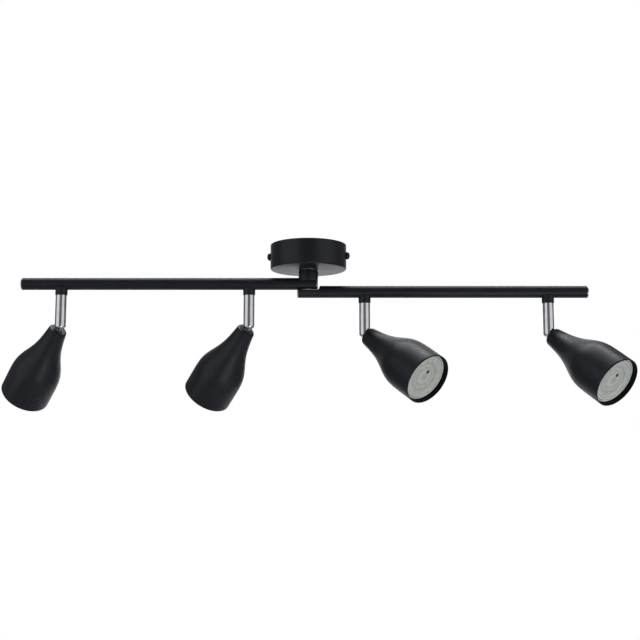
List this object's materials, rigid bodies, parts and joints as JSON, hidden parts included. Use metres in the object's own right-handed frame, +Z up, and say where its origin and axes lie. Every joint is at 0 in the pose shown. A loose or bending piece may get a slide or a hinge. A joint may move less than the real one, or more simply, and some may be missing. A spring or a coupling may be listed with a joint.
{
  "type": "ceiling spotlight bar",
  "caption": "Ceiling spotlight bar: round canopy on a short hub, two tubular arms on a stepped centre swivel, each with panning and tilting bottle-shaped black heads on chrome stems.",
  "frame": {"origin": "centre of the canopy's rim, on the ceiling", "axes": "+Z up to the ceiling, +X along the arms at rest, -Y towards the side the right-hand heads face"},
  "size_m": [0.6586, 0.1646, 0.1727],
  "materials": {
    "black_canopy": "satin black powder coat",
    "black_metal": "satin black powder coat",
    "black_screws": "black domed screws",
    "chrome_trim": "polished chrome plate",
    "zinc_steel": "zinc-plated steel",
    "brass": "plain brass",
    "white_plastic": "moulded plastic",
    "lead_insulation": "heat-proof sleeving",
    "aluminium_inner": "as machined",
    "ceramic_white": "unglazed white ceramic",
    "lamp_plastic": "moulded white lamp housing",
    "lamp_glass": "moulded prismatic lens"
  },
  "bodies": {
    "canopy_fixing": {"canopy": "black_canopy", "ceiling_bracket": "zinc_steel", "canopy_screws": "black_screws", "earth_screw": "brass", "terminal_block": "white_plastic", "terminal_screws": "brass", "swivel_nipple": "zinc_steel", "nipple_nut": "zinc_steel", "canopy_leads": "lead_insulation"},
    "upper_arm": {"centre_hub": "black_metal", "upper_tube": "black_metal", "upper_end_caps": "chrome_trim", "upper_knuckle": "aluminium_inner", "swivel_bolt": "zinc_steel", "upper_collars": "black_metal", "upper_pan_rivets": "zinc_steel", "upper_leads": "lead_insulation"},
    "lower_arm": {"lower_tube": "black_metal", "lower_end_caps": "chrome_trim", "lower_knuckle": "aluminium_inner", "lower_collars": "black_metal", "lower_pan_rivets": "zinc_steel", "lower_leads": "lead_insulation"},
    "stem_1": {"head_1_stem": "chrome_trim", "head_1_tilt_pin": "chrome_trim", "head_1_stem_leads": "lead_insulation"},
    "head_1": {"head_1_shade": "black_metal", "head_1_tilt_lug": "zinc_steel", "head_1_lug_nut": "zinc_steel", "head_1_lampholder": "ceramic_white", "head_1_lamp_body": "lamp_plastic", "head_1_lamp_lens": "lamp_glass"},
    "stem_2": {"head_2_stem": "chrome_trim", "head_2_tilt_pin": "chrome_trim", "head_2_stem_leads": "lead_insulation"},
    "head_2": {"head_2_shade": "black_metal", "head_2_tilt_lug": "zinc_steel", "head_2_lug_nut": "zinc_steel", "head_2_lampholder": "ceramic_white", "head_2_lamp_body": "lamp_plastic", "head_2_lamp_lens": "lamp_glass"},
    "stem_3": {"head_3_stem": "chrome_trim", "head_3_tilt_pin": "chrome_trim", "head_3_stem_leads": "lead_insulation"},
    "head_3": {"head_3_shade": "black_metal", "head_3_tilt_lug": "zinc_steel", "head_3_lug_nut": "zinc_steel", "head_3_lampholder": "ceramic_white", "head_3_lamp_body": "lamp_plastic", "head_3_lamp_lens": "lamp_glass"},
    "stem_4": {"head_4_stem": "chrome_trim", "head_4_tilt_pin": "chrome_trim", "head_4_stem_leads": "lead_insulation"},
    "head_4": {"head_4_shade": "black_metal", "head_4_tilt_lug": "zinc_steel", "head_4_lug_nut": "zinc_steel", "head_4_lampholder": "ceramic_white", "head_4_lamp_body": "lamp_plastic", "head_4_lamp_lens": "lamp_glass"}
  },
  "joints": [
    {"name": "upper_arm_swivel", "type": "hinge", "parent": "canopy_fixing", "child": "upper_arm", "pos_m": [0, 0, -0.03], "axis": [0, 0, 1], "range_deg": [-170, 170]},
    {"name": "lower_arm_swivel", "type": "hinge", "parent": "upper_arm", "child": "lower_arm", "pos_m": [0, 0, -0.0476], "axis": [0, 0, 1], "range_deg": [-110, 110]},
    {"name": "head_1_pan", "type": "hinge", "parent": "upper_arm", "child": "stem_1", "pos_m": [-0.2595, 0, -0.05505], "axis": [0, 0, 1], "range_deg": [-170, 170]},
    {"name": "head_1_tilt", "type": "hinge", "parent": "stem_1", "child": "head_1", "pos_m": [-0.2595, 0, -0.08505], "axis": [0.7547, 0.6561, 0], "range_deg": [-48, 42]},
    {"name": "head_2_pan", "type": "hinge", "parent": "upper_arm", "child": "stem_2", "pos_m": [-0.0622, 0, -0.05505], "axis": [0, 0, 1], "range_deg": [-170, 170]},
    {"name": "head_2_tilt", "type": "hinge", "parent": "stem_2", "child": "head_2", "pos_m": [-0.0622, 0, -0.08505], "axis": [0.766, 0.6428, 0], "range_deg": [-48, 42]},
    {"name": "head_3_pan", "type": "hinge", "parent": "lower_arm", "child": "stem_3", "pos_m": [0.059, 0, -0.06355], "axis": [0, 0, 1], "range_deg": [-170, 170]},
    {"name": "head_3_tilt", "type": "hinge", "parent": "stem_3", "child": "head_3", "pos_m": [0.059, 0, -0.09355], "axis": [0.7193, 0.6947, 0], "range_deg": [-32, 58]},
    {"name": "head_4_pan", "type": "hinge", "parent": "lower_arm", "child": "stem_4", "pos_m": [0.2515, 0, -0.06355], "axis": [0, 0, 1], "range_deg": [-170, 170]},
    {"name": "head_4_tilt", "type": "hinge", "parent": "stem_4", "child": "head_4", "pos_m": [0.2515, 0, -0.09355], "axis": [0.7771, 0.6293, 0], "range_deg": [-34.5, 55.5]}
  ]
}
